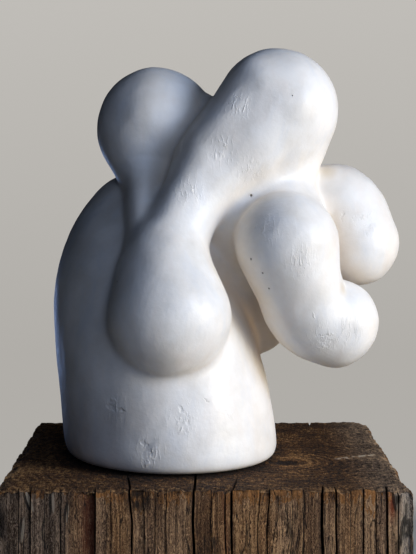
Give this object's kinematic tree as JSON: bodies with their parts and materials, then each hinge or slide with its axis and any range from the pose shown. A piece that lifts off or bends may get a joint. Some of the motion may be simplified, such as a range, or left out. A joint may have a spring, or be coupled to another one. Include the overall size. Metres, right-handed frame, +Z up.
{
  "type": "head sculpture",
  "caption": "Abstract head sculpture: swelling rounded lobes rise from a smooth plaster trunk that stands on an upright square block of weathered timber.",
  "frame": {"origin": "centre of the timber block's flat underside, where it stands", "axes": "+Z up through the block and the figure, +X to the right as the picture looks at it, -Y towards the viewer"},
  "size_m": [0.3325, 0.324, 0.5061],
  "materials": {
    "painted_plaster": "satin white coat over hand-modelled plaster, with faint tool marks and small pits",
    "weathered_timber": "dry, dark, weathered old timber with open vertical grain, drying splits and bare end grain on top"
  },
  "bodies": {
    "root": {"plaster_figure": "painted_plaster", "timber_plinth": "weathered_timber"}
  },
  "joints": []
}
